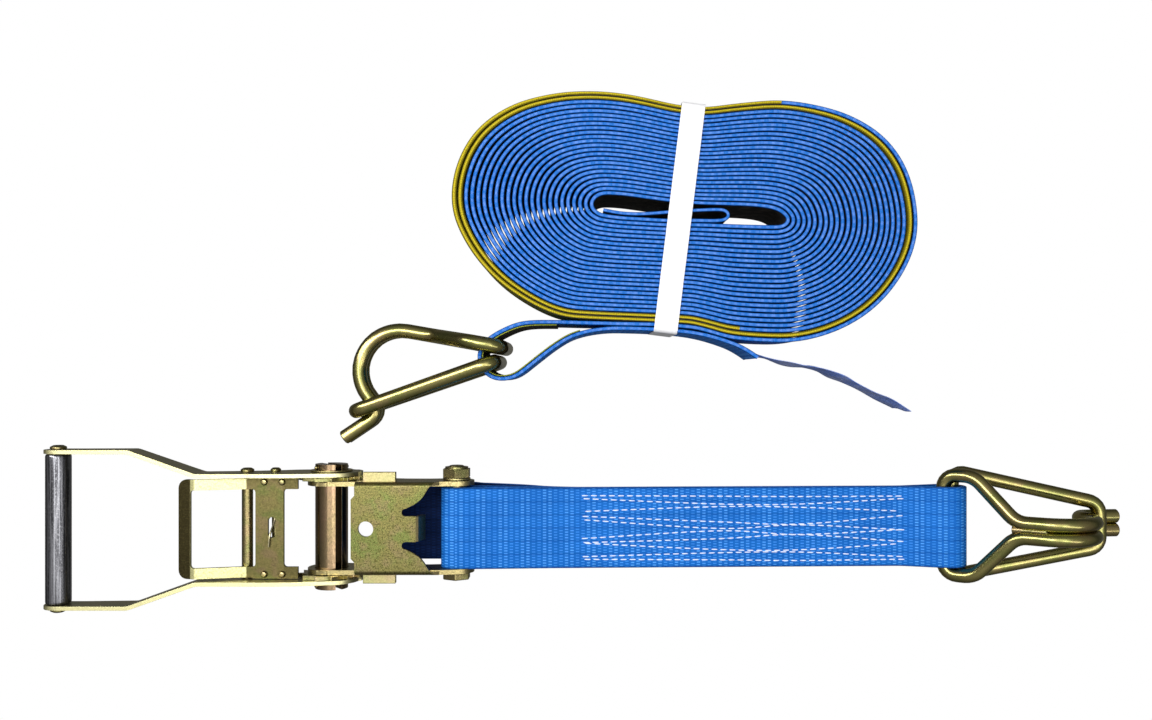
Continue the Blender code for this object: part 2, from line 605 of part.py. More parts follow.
def build_coil(group):
    """Outer shape of the wound strap: one ring round the open middle, standing on its edge."""
    outside = [(135.5, 1.0), (129.5, 26.5), (116.0, 46.0), (95.5, 59.0), (73.5, 65.5), (54.0, 68.0),
               (36.5, 67.0), (22.5, 65.5), (10.5, 64.0), (-0.5, 64.5), (-11.0, 66.0),
               (-24.0, 69.0), (-39.5, 72.0), (-59.0, 73.5), (-81.5, 72.0), (-106.5, 65.0),
               (-127.5, 50.0), (-139.5, 28.0), (-141.5, 3.5), (-131.5, -19.5), (-115.5, -38.5),
               (-95.5, -52.5), (-77.0, -60.5), (-60.5, -62.2), (-41.5, -63.0), (-17.5, -64.0),
               (-5.5, -64.6), (-2.5, -66.5), (11.5, -70.5), (25.5, -74.3), (47.5, -76.0),
               (65.5, -75.5), (87.0, -69.5), (107.0, -58.0), (123.0, -41.0), (133.5, -20.0)]
    slot = [(-56.5, 3.0), (-53.5, -1.0), (-27.5, -2.5), (2.5, -4.0), (32.5, -4.5), (52.5, -4.0),
            (56.5, 2.0), (52.5, 8.0), (32.5, 8.5), (2.5, 10.0), (-27.5, 11.5), (-51.5, 11.5),
            (-55.5, 8.0)]
    prism("webbing_coil", [smooth(outside, 3, True), smooth(slot, 2, True)], COIL_LOW, COIL_HIGH,
          "Z", group, "webbing")
    route = [(37.0, -83.5), (24.0, -77.2), (11.5, -72.9), (-5.5, -69.3), (-22.5, -68.1),
             (-41.5, -67.6), (-49.0, -68.0), (-60.0, -70.0), (-71.0, -74.5), (-82.0, -82.5),
             (-93.0, -90.5), (-102.5, -96.5), (-110.0, -97.8), (-117.0, -96.5), (-122.0, -92.0),
             (-124.2, -86.0), (-123.0, -79.0), (-117.5, -73.4), (-109.0, -68.6), (-98.5, -64.9),
             (-82.0, -64.0), (-60.0, -64.4), (-41.5, -64.8), (-9.5, -66.2)]
    strip("webbing_end_loop", smooth(route, 3), COIL_LOW, COIL_HIGH, "Z", STRAP_THICKNESS,
          group, "webbing", rise=loop_rise)


def build_band_and_label(group):
    """Plastic band round the coil's waist and the thin fabric label at the strap's tail."""
    turn = Matrix.Rotation(math.radians(-95.9), 3, "Z")
    holder = make_group("band_plane", (-5.6, 0.5, 0), turn, group)
    inner_low = COIL_LOW - GAP
    corners = [(-66.3, inner_low - BAND_THICKNESS / 2), (72.3, inner_low - BAND_THICKNESS / 2),
               (72.3, COIL_HIGH + GAP + BAND_THICKNESS / 2),
               (-66.3, COIL_HIGH + GAP + BAND_THICKNESS / 2)]
    path = rounded(corners, [1.0] * 4, closed=True, steps=3)
    strip("retaining_band", path, -BAND_WIDTH / 2, BAND_WIDTH / 2, "Y", BAND_THICKNESS, holder,
          "band", closed=True)
    route = [(39.0, -84.6), (44.0, -86.5), (53.5, -88.5), (65.0, -90.0), (76.0, -92.5),
             (87.0, -97.0), (98.0, -101.0), (109.0, -107.5), (120.0, -113.5), (133.5, -117.5)]
    strip("label_tape", smooth(route, 2), COIL_LOW, 44.0, "Z", 0.8, group, "label")


# ---------------------------------------------------------------- assembly

def build_all():
    ratchet = make_group("ratchet_base", SPINDLE_AXIS)
    spindle = make_group("spindle_axis", SPINDLE_AXIS)
    handle = make_group("handle_axis", SPINDLE_AXIS)
    frame_pawl = make_group("frame_pawl_slide", SPINDLE_AXIS)
    drive_pawl = make_group("drive_pawl_slide", SPINDLE_AXIS)
    build_frame(ratchet)
    build_frame_pawl(frame_pawl, ratchet)
    build_bolt(ratchet)
    build_spindle(spindle)
    build_handle(handle)
    build_drive_pawl(drive_pawl)
    build_short_strap(ratchet)

    pocket = Vector(SPINDLE_AXIS) + Vector(POCKET_A)
    hook_a = make_group("hook_a_pivot", pocket, Matrix.Rotation(-HOOK_A_LIFT, 3, "Y"))
    build_hook("a", hook_a)

    coil = make_group("coil_base", COIL_CENTRE)
    build_coil(coil)
    build_band_and_label(coil)
    pocket = Vector(COIL_CENTRE) + Vector(POCKET_B)
    on_side = Matrix.Rotation(math.radians(90), 3, "X")
    hook_b = make_group("hook_b_pivot", pocket, Matrix.Rotation(HOOK_B_TURN, 3, "Z") @ on_side)
    build_hook("b", hook_b)


clear_scene()
MATERIALS = make_looks()
build_all()
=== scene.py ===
"""The looks of a ratchet tie-down set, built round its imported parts. Metres, +Z up.

Half A: ratchet buckle, short sewn strap, wire hook with keeper.
Half B: long strap wound on edge into a coil, with its end loop, band, label and a second hook.
"""
import json
import math

import bmesh
import bpy
import numpy as np
from mathutils import Matrix, Vector

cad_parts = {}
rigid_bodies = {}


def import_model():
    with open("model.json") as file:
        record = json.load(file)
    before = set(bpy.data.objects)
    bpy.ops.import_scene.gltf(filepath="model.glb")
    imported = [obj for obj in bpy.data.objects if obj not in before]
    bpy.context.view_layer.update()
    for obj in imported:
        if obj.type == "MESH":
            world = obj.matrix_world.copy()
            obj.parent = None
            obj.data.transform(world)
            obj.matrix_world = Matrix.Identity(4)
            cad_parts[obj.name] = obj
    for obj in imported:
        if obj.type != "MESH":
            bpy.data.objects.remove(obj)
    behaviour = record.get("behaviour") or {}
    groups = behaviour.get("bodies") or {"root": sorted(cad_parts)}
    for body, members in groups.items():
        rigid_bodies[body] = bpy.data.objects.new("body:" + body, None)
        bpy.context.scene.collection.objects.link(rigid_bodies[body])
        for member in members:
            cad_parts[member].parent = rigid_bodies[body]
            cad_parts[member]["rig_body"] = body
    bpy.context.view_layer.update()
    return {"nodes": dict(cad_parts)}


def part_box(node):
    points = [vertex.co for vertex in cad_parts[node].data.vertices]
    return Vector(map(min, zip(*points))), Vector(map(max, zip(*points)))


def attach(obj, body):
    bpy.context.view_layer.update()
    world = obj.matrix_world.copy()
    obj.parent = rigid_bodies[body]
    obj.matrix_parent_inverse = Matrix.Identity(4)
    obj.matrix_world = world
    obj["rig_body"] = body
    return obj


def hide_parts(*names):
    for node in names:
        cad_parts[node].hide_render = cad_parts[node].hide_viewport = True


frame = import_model()

MM = 0.001
SPINDLE = Vector((-0.1625, -0.1056, 0.0203))
COIL = Vector((0.0571, 0.0833, 0.0))
# The lengths below, and those in the shapes' functions, are in millimetres unless they say so.
STRAP_WIDTH = 50.0
STRAP_THICKNESS = 2.3
WIRE_RADIUS = 4.35
AXLE_HEIGHT = 20.3
TURNS = 24
SLEEVE_TURNS = (0.423, 2.0687)


# ---- shader helpers

class Look:
    """A material and the few node helpers that its looks are made with."""

    def __init__(self, name):
        self.material = bpy.data.materials.new(name)
        self.material.use_nodes = True
        self.tree = self.material.node_tree
        self.shader = self.tree.nodes["Principled BSDF"]

    def node(self, kind, inputs=None, **settings):
        made = self.tree.nodes.new(kind)
        for key, value in settings.items():
            setattr(made, key, value)
        for key, value in (inputs or {}).items():
            self.put(made.inputs[key], value)
        return made

    def put(self, socket, value):
        if isinstance(value, bpy.types.NodeSocket):
            self.tree.links.new(value, socket)
        else:
            socket.default_value = value

    def calc(self, operation, a, b=0.0):
        made = self.node("ShaderNodeMath", operation=operation)
        for socket, value in zip(made.inputs, (a, b)):
            self.put(socket, value)
        return made.outputs[0]

    def times(self, a, b):
        return self.calc("MULTIPLY", a, b)

    def ripple(self, value, pitch):
        """A cosine wave of the value, -1 to 1, that repeats every pitch."""
        return self.calc("COSINE", self.times(value, math.tau / pitch))

    def between(self, value, low, high, out_low=0.0, out_high=1.0):
        made = self.node("ShaderNodeMapRange", interpolation_type="SMOOTHSTEP")
        for socket, part in zip(made.inputs, (value, low, high, out_low, out_high)):
            self.put(socket, part)
        return made.outputs[0]

    def mix(self, share, a, b):
        made = self.node("ShaderNodeMix", data_type="RGBA")
        self.put(made.inputs[0], share)
        self.put(made.inputs[6], a if isinstance(a, bpy.types.NodeSocket) else (*a, 1.0))
        self.put(made.inputs[7], b if isinstance(b, bpy.types.NodeSocket) else (*b, 1.0))
        return made.outputs[2]

    def noise(self, place, scale, detail=2.0, roughness=0.5):
        made = self.node("ShaderNodeTexNoise", {"Vector": place, "Scale": scale,
                                                "Detail": detail, "Roughness": roughness})
        return made.outputs["Fac"]

    def patches(self, place, scale, low, high, detail=2.0):
        """Soft-edged patches, 0 to 1, cut out of noise."""
        return self.between(self.noise(place, scale, detail), low, high)

    def place(self, stretch=(1.0, 1.0, 1.0)):
        """Object coordinates, stretched along an axis for brushed or drawn finishes."""
        coords = self.node("ShaderNodeTexCoord").outputs["Object"]
        return self.node("ShaderNodeMapping", {"Vector": coords, "Scale": stretch}).outputs[0]

    def split(self, vector):
        return self.node("ShaderNodeSeparateXYZ", {"Vector": vector}).outputs

    def uv(self):
        """u in metres along the strap; v in metres across its face, or -1 to 1 over its edge."""
        return self.split(self.node("ShaderNodeUVMap", uv_map="weave").outputs[0])[:2]

    def done(self, height, distance, **values):
        """The material, with a bump of that depth in metres and the shader's inputs set."""
        bump = self.node("ShaderNodeBump",
                         {"Height": height, "Distance": distance, "Strength": 1.0})
        self.put(self.shader.inputs["Normal"], bump.outputs[0])
        for key, value in values.items():
            self.put(self.shader.inputs[key.replace("_", " ")], value)
        return self.material


def zinc(name, base, green, pink, roughness, speckle, stretch=(1, 1, 1), top=None, zones=(),
         bumpy=0.00005):
    """Yellow-passivated zinc: mottled green and pink on gold, with a fine crystalline grain.
    top is a painted highlight colour for what faces up, and zones, each (from x, to x, colour) in
    metres, are painted highlight or shade colours for the parts of one pressing that reflect the
    light otherwise."""
    look = Look(name)
    place = look.place(stretch)
    grain = look.noise(place, 900, 3, 0.8)
    crystals = look.noise(place, 1700, 2, 0.75)
    colour = look.mix(look.patches(place, 70, 0.42, 0.60), base, green)
    colour = look.mix(look.times(look.patches(place, 120, 0.48, 0.66, 3), 0.75), colour, pink)
    blur = 0.0004
    # Painted highlight or shade: each zone takes the colour its tilted faces reflect.
    for low, high, tint in zones:
        x = look.split(look.node("ShaderNodeTexCoord").outputs["Object"])[0]
        inside = look.times(look.between(x, low - blur, low + blur),
                            look.between(x, high + blur, high - blur))
        colour = look.mix(inside, colour, tint)
    # Painted highlight: faces that point up take the top colour.
    if top:
        facing_up = look.split(look.node("ShaderNodeTexCoord").outputs["Normal"])[2]
        colour = look.mix(look.between(facing_up, 0.45, 0.85), colour, top)
    pits = look.times(look.between(grain, 0.52, 0.40), speckle)
    colour = look.mix(pits, colour, tuple(c * 0.30 for c in base))
    glints = look.times(look.between(crystals, 0.52, 0.66), speckle)
    colour = look.mix(glints, colour, tuple(min(1.0, c * 2.1) for c in base))
    gloss = look.between(grain, 0.3, 0.7, roughness + 0.08, roughness - 0.06)
    return look.done(grain, bumpy, Base_Color=colour, Metallic=1.0, Roughness=gloss)


def weave_pattern(look):
    """The woven face: short floats in columns across it, each column half a row off the last,
    narrow ribs along it, and the two columns in every four that are paler."""
    u, v = look.uv()
    cell = look.calc("DIVIDE", u, 3.43 * MM)
    column = look.calc("FLOOR", cell)
    step = look.times(look.calc("FLOORED_MODULO", column, 2.0), 0.5)
    row = look.calc("ADD", look.calc("DIVIDE", v, 1.74 * MM), step)
    window = look.between(look.ripple(cell, 1), 0.75, -0.15)
    floats = look.times(look.between(look.ripple(row, 1), 0.0, 0.9), window)
    rib = look.between(look.ripple(v, 8.1 * MM), 0.90, 0.995)
    pale = look.calc("LESS_THAN", look.calc("FLOORED_MODULO", column, 4.0), 1.5)
    return floats, rib, look.times(pale, window)


def webbing(name, deep, mid, light, bright):
    look = Look(name)
    floats, rib, pale = weave_pattern(look)
    place = look.place()
    uneven = look.between(look.noise(place, 260), 0.3, 0.7, 0.55, 1.0)
    colour = look.mix(look.patches(place, 42, 0.35, 0.65), mid, light)
    colour = look.mix(look.times(pale, 0.10), colour, bright)
    colour = look.mix(look.times(look.between(floats, 0.30, 0.0), 0.50), colour, deep)
    shine = look.times(look.calc("ADD", 0.46, look.times(pale, 0.42)), uneven)
    colour = look.mix(look.times(floats, shine), colour, bright)
    colour = look.mix(look.times(rib, 0.55), colour, deep)
    return look.done(look.calc("SUBTRACT", floats, look.times(rib, 0.9)), 0.00018,
                     Base_Color=colour, Roughness=0.6, Specular_IOR_Level=0.10)


def webbing_rim(name, deep, mid, bright):
    """The selvedge: fine ticks of weft, paler in patches along its middle and darker towards both
    shoulders of its rounded edge.
    """
    look = Look(name)
    u, v = look.uv()
    away = look.calc("ABSOLUTE", v)
    middle = look.between(away, 0.80, 0.30)
    along = look.node("ShaderNodeCombineXYZ", {"X": u}).outputs[0]
    patch = look.between(look.noise(along, 95, 2, 0.6), 0.44, 0.58)
    coarse = look.between(look.ripple(u, 4.6 * MM), -0.2, 0.8)
    comb = look.between(look.ripple(u, 0.9 * MM), -0.4, 0.9)
    pale = look.calc("ADD", look.times(patch, 0.30), look.times(coarse, 0.28))
    colour = look.mix(look.times(pale, middle), mid, bright)
    colour = look.mix(look.times(look.times(comb, middle), 0.26), colour, bright)
    colour = look.mix(look.between(away, 0.55, 1.0), colour, deep)
    return look.done(comb, 0.00012, Base_Color=colour, Roughness=0.6, Specular_IOR_Level=0.12)


def sleeve_cloth(name, deep, mid, bright):
    look = Look(name)
    u, v = look.uv()
    height = look.times(look.ripple(v, 1.1 * MM), look.ripple(u, 1.6 * MM))
    colour = look.mix(look.between(height, -0.8, 0.9), deep, mid)
    colour = look.mix(look.patches(look.place(), 150, 0.45, 0.7, 3), colour, bright)
    return look.done(height, 0.00012, Base_Color=colour, Roughness=0.7,
                     Specular_IOR_Level=0.10)


def sleeve_rim(name, deep, mid, bright):
    look = Look(name)
    u, v = look.uv()
    # Painted highlight along the middle of the rounded rim.
    centre = look.calc("ABSOLUTE", look.calc("SUBTRACT", v, 0.1))
    colour = look.mix(look.between(centre, 0.55, 0.1), mid, bright)
    # Painted shade towards both shoulders of the rim.
    colour = look.mix(look.between(look.calc("ABSOLUTE", v), 0.55, 1.0), colour, deep)
    comb = look.ripple(u, 1.3 * MM)
    colour = look.mix(look.times(look.between(comb, 0.0, 1.0), 0.16), colour, deep)
    return look.done(comb, 0.00008, Base_Color=colour, Roughness=0.65, Specular_IOR_Level=0.12)


def make_grip_look():
    """Dark drawn tube: fine streaks along its length, bright where it faces the light."""
    look = Look("grip_dark")
    streak = look.noise(look.place((1, 0.02, 1)), 900, 3, 0.7)
    speck = look.noise(look.place((1, 0.5, 1)), 1300, 2, 0.7)
    colour = look.mix(look.between(streak, 0.40, 0.62), (0.050, 0.051, 0.056),
                      (0.30, 0.30, 0.32))
    colour = look.mix(look.times(look.between(speck, 0.50, 0.68), 0.45), colour,
                      (0.42, 0.42, 0.44))
    return look.done(streak, 0.00003, Base_Color=colour, Metallic=1.0, Roughness=0.27)


def make_band_look():
    look = Look("band_white")
    place = look.place()
    colour = look.mix(look.patches(place, 35, 0.3, 0.7), (0.90, 0.90, 0.91), (0.96, 0.96, 0.97))
    return look.done(look.noise(place, 700), 0.00004, Base_Color=colour, Roughness=0.42,
                     Specular_IOR_Level=0.35)


def make_label_look():
    """Thin tape: light comes through it, and it is greyer where it is creased."""
    look = Look("label_cloth")
    crease = look.noise(look.place((1, 1, 0.25)), 70, 3, 0.6)
    picks = look.ripple(look.uv()[0], 1.3 * MM)
    colour = look.mix(look.between(crease, 0.35, 0.65), (0.16, 0.28, 0.76), (0.38, 0.47, 0.84))
    colour = look.mix(look.patches(look.place(), 35, 0.5, 0.75), colour, (0.07, 0.22, 0.80))
    return look.done(look.calc("ADD", crease, look.times(picks, 0.12)), 0.0003,
                     Base_Color=colour, Roughness=0.55, Specular_IOR_Level=0.3, Alpha=0.93)


def make_thread_look():
    look = Look("thread_white")
    twist = look.noise(look.place((1, 3, 1)), 1500, 2, 0.6)
    colour = look.mix(look.between(twist, 0.3, 0.7), (0.62, 0.70, 0.95), (0.92, 0.96, 1.0))
    return look.done(twist, 0.00008, Base_Color=colour, Roughness=0.55, Specular_IOR_Level=0.4,
                     Sheen_Weight=0.2)


# Where the drive pawl's bends change what it reflects, along x in metres.
PAWL_X = (-0.2444, -0.2122, -0.1893)
LOOKS = {
    # plate: a darker zinc, painted shade for the frame web's broad flat top.
    "plate": zinc("zinc_plate", (0.168, 0.153, 0.052), (0.137, 0.167, 0.047),
                  (0.205, 0.155, 0.08), 0.4, 0.85),
    # The arm's top colour is a painted highlight on its up-facing edges.
    "arm": zinc("zinc_arm", (0.4, 0.37, 0.22), (0.33, 0.33, 0.19), (0.44, 0.38, 0.24), 0.36,
                0.22, top=(0.93, 0.87, 0.46)),
    # The cheek's top colour is a painted highlight on its up-facing edges.
    "cheek": zinc("zinc_cheek", (0.34, 0.29, 0.15), (0.27, 0.27, 0.12), (0.38, 0.28, 0.16), 0.32,
                  0.4, top=(0.46, 0.38, 0.17)),
    "ear": zinc("zinc_ear", (0.42, 0.37, 0.172), (0.38, 0.37, 0.16), (0.45, 0.355, 0.2), 0.4,
                0.25),
    "loop": zinc("zinc_loop", (0.14, 0.118, 0.044), (0.112, 0.118, 0.037),
                 (0.165, 0.118, 0.062), 0.38, 0.35,
                 # Painted reflections: shade on the back bar, a highlight on the slope after it,
                 # shade on the front part.
                 zones=((-1.0, PAWL_X[0], (0.062, 0.05, 0.02)),
                        (PAWL_X[0], PAWL_X[1], (0.84, 0.8, 0.4)),
                        (PAWL_X[2], 1.0, (0.1, 0.084, 0.032)))),
    "bronze": zinc("zinc_bronze", (0.29, 0.2, 0.115), (0.25, 0.19, 0.095),
                   (0.33, 0.205, 0.135), 0.17, 0.22, stretch=(1, 0.4, 1), bumpy=0.00002),
    "dark": zinc("zinc_dark", (0.3, 0.25, 0.11), (0.24, 0.24, 0.09), (0.36, 0.26, 0.14), 0.28,
                 0.45),
    "rivet": zinc("zinc_rivet", (0.42, 0.35, 0.16), (0.33, 0.33, 0.13), (0.47, 0.34, 0.2), 0.3,
                  0.4),
    "wire": zinc("zinc_wire", (0.36, 0.315, 0.115), (0.29, 0.29, 0.095), (0.41, 0.31, 0.14),
                 0.2, 0.22, bumpy=0.00001),
    "spring": zinc("spring_steel", (0.34, 0.3, 0.18), (0.28, 0.27, 0.16), (0.36, 0.3, 0.2),
                   0.3, 0.2),
    "webbing": webbing("webbing_face", (0.003, 0.08, 0.38), (0.009, 0.165, 0.62),
                       (0.013, 0.2, 0.72), (0.12, 0.44, 0.98)),
    "webbing_rim": webbing_rim("webbing_rim", (0.001, 0.018, 0.1), (0.005, 0.15, 0.6),
                               (0.2, 0.37, 0.9)),
    # wound: near-black cloth, a painted shade for the faces between the turns and round the slot.
    "wound": sleeve_cloth("wound_painted_shade", (0.006, 0.005, 0.005), (0.026, 0.023, 0.019),
                          (0.048, 0.041, 0.034)),
    # Painted shade: a very dark copy of the webbing for the tail that lies in shadow under the
    # frame.
    "navy_painted_shade": webbing("webbing_shade", (0.001, 0.008, 0.045), (0.002, 0.016, 0.085),
                    (0.003, 0.02, 0.105), (0.005, 0.03, 0.15)),
    "lining": sleeve_cloth("lining_cloth", (0.03, 0.028, 0.02), (0.055, 0.05, 0.034),
                           (0.075, 0.066, 0.045)),
    "sleeve": sleeve_cloth("sleeve_cloth", (0.07, 0.06, 0.003), (0.15, 0.13, 0.006),
                           (0.2, 0.17, 0.01)),
    # The rims' bright colours are painted highlights and their deep colours painted shade.
    "sleeve_rim": sleeve_rim("sleeve_rim", (0.075, 0.062, 0.001), (0.18, 0.145, 0.002),
                             (0.6, 0.48, 0.02)),
    "lining_rim": sleeve_rim("lining_rim", (0.02, 0.024, 0.004), (0.16, 0.2, 0.02),
                             (0.42, 0.46, 0.07)),
    "grip": make_grip_look(),
    "band": make_band_look(),
    "label": make_label_look(),
    "thread": make_thread_look(),
}


# ---- geometry helpers

def arc(centre, radius, start, end, steps):
    turns = [math.radians(start + (end - start) * i / steps) for i in range(steps + 1)]
    return [(centre[0] + radius * math.cos(t), centre[1] + radius * math.sin(t)) for t in turns]


def rounded(corners, radii, steps=12):
    """A path through corner points with each corner replaced by an arc of its own radius; a
    radius of 0 keeps the corner, and an open path's two ends have it."""
    count = len(corners)
    flat = len(corners[0]) == 2
    places = [Vector((*corner, 0)) if flat else Vector(corner) for corner in corners]
    path = []
    for i, (corner, radius) in enumerate(zip(places, radii)):
        if radius == 0:
            path.append(corner)
            continue
        before = (places[i - 1] - corner).normalized()
        after = (places[(i + 1) % count] - corner).normalized()
        half = before.angle(after) / 2
        middle = corner + (before + after).normalized() * (radius / math.sin(half))
        first = corner + before * (radius / math.tan(half)) - middle
        last = corner + after * (radius / math.tan(half)) - middle
        sweep = first.angle(last)
        for k in range(steps + 1):
            share = k / steps
            path.append(middle + first * (math.sin((1 - share) * sweep) / math.sin(sweep))
                        + last * (math.sin(share * sweep) / math.sin(sweep)))
    return [(p.x, p.y) for p in path] if flat else path


def smooth(points, steps):
    """Points along a smooth curve through the given points."""
    places = [Vector(p) for p in points]
    places = [places[0] * 2 - places[1], *places, places[-1] * 2 - places[-2]]
    path = []
    for p0, p1, p2, p3 in zip(places, places[1:], places[2:], places[3:]):
        for k in range(steps):
            t = k / steps
            path.append(0.5 * (2 * p1 + (p2 - p0) * t + (2 * p0 - 5 * p1 + 4 * p2 - p3) * t * t
                               + (3 * p1 - p0 - 3 * p2 + p3) * t ** 3))
    return [tuple(p) for p in path + [places[-2]]]


def steps_of(points):
    return np.linalg.norm(np.diff(np.asarray(points, float), axis=0), axis=1)


def length_of(points):
    return float(steps_of(points).sum())


def distances(points):
    """How far along the path each point is."""
    return np.concatenate([[0], np.cumsum(steps_of(points))])


def resample(path, shares):
    """Points at the given shares (0..1) of a path's length."""
    points = np.array([tuple(p) for p in path], float)
    run = distances(points)
    return np.stack([np.interp(shares * run[-1], run, axis) for axis in points.T], 1)


def spread(path, step, closed=False):
    """A path resampled evenly, about one point every step."""
    points = np.array([tuple(p) for p in path], float)
    if closed:
        points = np.vstack([points, points[:1]])
    count = max(4, int(round(length_of(points) / step)))
    out = resample(points, np.linspace(0, 1, count + 1))
    return out[:-1] if closed else out


def unit(vectors):
    return vectors / np.linalg.norm(vectors, axis=1)[:, None]


def hoops(rings, sides, closed=False, base=0):
    """Faces that join each ring of points to the next, and cap the two ends of an open row."""
    faces = []
    for i in range(rings if closed else rings - 1):
        j = (i + 1) % rings
        for k in range(sides):
            n = (k + 1) % sides
            corners = (i * sides + k, i * sides + n, j * sides + n, j * sides + k)
            faces.append(tuple(base + corner for corner in corners))
    if not closed:
        last = base + (rings - 1) * sides
        faces.append(tuple(reversed(range(base, base + sides))))
        faces.append(tuple(range(last, last + sides)))
    return faces


def new_object(name, verts, faces, looks, face_looks=None, uvs=None, smooth_angle=40):
    mesh = bpy.data.meshes.new(name)
    mesh.from_pydata([tuple(v) for v in verts], [], faces)
    for look in looks:
        mesh.materials.append(look)
    if face_looks is not None:
        mesh.polygons.foreach_set("material_index", face_looks)
    if uvs is not None:
        layer = mesh.uv_layers.new(name="weave")
        layer.data.foreach_set("uv", np.asarray(uvs, np.float32).ravel())
    mesh.update()
    obj = bpy.data.objects.new(name, mesh)
    bpy.context.scene.collection.objects.link(obj)
    work = bmesh.new()
    work.from_mesh(mesh)
    bmesh.ops.recalc_face_normals(work, faces=work.faces)
    work.to_mesh(mesh)
    work.free()
    mesh.shade_smooth()
    mesh.set_sharp_from_angle(angle=math.radians(smooth_angle))
    return obj


def strap_profile(rows=1, soft=0.6):
    """Round a strap's section: (across its thickness, across its width), both -0.5 to 0.5."""
    edge = soft / STRAP_WIDTH
    high = 0.5 - edge * 0.32
    half = [(0.5, edge - 0.5 + (1 - 2 * edge) * i / rows) for i in range(rows + 1)]
    half += [(0.40, high), (0.16, 0.5), (-0.16, 0.5), (-0.40, high)]
    return half + [(-a, -b) for a, b in half]


def ribbon(name, centres, across, up, width, thickness, looks, closed=False, rows=1, soft=0.6,
           relief=None):
    """A strap swept along its centre points. across is its thickness direction and up its width
    direction at every point; lengths are millimetres and directions are unit vectors."""
    centres, across, up = (np.asarray(part, float) for part in (centres, across, up))
    count = len(centres)
    width, thickness = np.broadcast_to(width, count), np.broadcast_to(thickness, count)
    a, b = np.array(strap_profile(rows, soft)).T
    sides = len(a)
    verts = (centres[:, None, :] + across[:, None, :] * (thickness[:, None] * a)[:, :, None]
             + up[:, None, :] * (width[:, None] * b)[:, :, None])
    if relief is not None:
        verts = verts + relief(a[None, :], b[None, :], np.arange(count)[:, None])
    run = distances(np.vstack([centres, centres[:1]])) * MM
    rims = {*range(rows, rows + 5), *range(2 * rows + 5, 2 * rows + 10)}
    faces, marks, uvs = [], [], []
    for i in range(count if closed else count - 1):
        j = (i + 1) % count
        for k in range(sides):
            n = (k + 1) % sides
            faces.append((i * sides + k, j * sides + k, j * sides + n, i * sides + n))
            marks.append(1 if k in rims else 0)
            if k in rims:
                v0, v1 = a[k] * 2, a[n] * 2
            else:
                v0, v1 = b[k] * width[i] * MM, b[n] * width[i] * MM
            uvs += [(run[i], v0), (run[i + 1], v0), (run[i + 1], v1), (run[i], v1)]
    if not closed:
        for i, flip in ((0, False), (count - 1, True)):
            order = range(sides)[::-1] if flip else range(sides)
            faces.append(tuple(i * sides + k for k in order))
            marks.append(1)
            uvs += [(run[i], a[k] * 2) for k in order]
    return new_object(name, verts.reshape(-1, 3) * MM, faces, looks, marks, uvs, 50)


def tube(name, path, radius, look, closed=False, sides=24):
    """Round wire along a path in metres, with lightly rounded cut ends."""
    points = [Vector(p) for p in path]
    count = len(points)
    tangents = []
    for i in range(count):
        before = points[i - 1] if closed or i > 0 else points[i]
        after = points[(i + 1) % count] if closed or i + 1 < count else points[i]
        tangents.append((after - before).normalized())
    normal = tangents[0].orthogonal().normalized()
    frames = []
    for i, tangent in enumerate(tangents):
        if i:
            normal = tangents[i - 1].rotation_difference(tangent) @ normal
        normal = (normal - tangent * normal.dot(tangent)).normalized()
        frames.append(normal.copy())
    twist = 0.0
    if closed:
        last = tangents[-1].rotation_difference(tangents[0]) @ frames[-1]
        twist = math.atan2(last.cross(frames[0]).dot(tangents[0]), last.dot(frames[0]))
    rings = [(p, t, n, radius) for p, t, n in zip(points, tangents, frames)]
    if not closed:
        cut = radius * 0.14
        (p, t, n, _), (q, u, m, _) = rings[0], rings[-1]
        rings = [(p, t, n, radius - cut), (p + t * cut, t, n, radius), *rings[1:-1],
                 (q - u * cut, u, m, radius), (q, u, m, radius - cut)]
    verts = []
    for i, (p, t, n, r) in enumerate(rings):
        side = t.cross(n)
        extra = twist * i / len(rings)
        for k in range(sides):
            angle = math.tau * k / sides + extra
            verts.append(p + (n * math.cos(angle) + side * math.sin(angle)) * r)
    return new_object(name, verts, hoops(len(rings), sides, closed), [look])


def finished(node, look, edge):
    """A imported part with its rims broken: the same shape, with small rounds on its edges."""
    sharp_turn = 0.6
    source = frame["nodes"][node]
    work = bmesh.new()
    work.from_mesh(source.data)
    bmesh.ops.remove_doubles(work, verts=work.verts, dist=2e-6)
    bmesh.ops.dissolve_limit(work, angle_limit=math.radians(0.8), verts=work.verts,
                             edges=work.edges)
    for layer in list(work.loops.layers.uv):
        work.loops.layers.uv.remove(layer)
    for rim in work.edges:
        if not edge and len(rim.link_faces) == 2 and rim.calc_face_angle() > sharp_turn:
            rim.smooth = False
    mesh = bpy.data.meshes.new(node + "_raw")
    work.to_mesh(mesh)
    work.free()
    if "custom_normal" in mesh.attributes:
        mesh.attributes.remove(mesh.attributes["custom_normal"])
    mesh.materials.clear()
    mesh.materials.append(look)
    obj = bpy.data.objects.new(node + "_finish", mesh)
    bpy.context.scene.collection.objects.link(obj)
    if edge:
        bevel = obj.modifiers.new("rims", "BEVEL")
        bevel.width = edge * MM
        bevel.segments = 2
        bevel.limit_method = "ANGLE"
        bevel.angle_limit = math.radians(28)
        bevel.miter_outer = "MITER_ARC"
    mesh.shade_smooth()
    weigh = obj.modifiers.new("flats", "WEIGHTED_NORMAL")
    weigh.keep_sharp = True
    weigh.weight = 80
    depsgraph = bpy.context.evaluated_depsgraph_get()
    baked = bpy.data.meshes.new_from_object(obj.evaluated_get(depsgraph))
    obj.modifiers.clear()
    obj.data = baked
    bpy.data.meshes.remove(mesh)
    baked.name = node + "_finish"
    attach(obj, source["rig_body"])
    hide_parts(node)
    return obj


# ---- ratchet

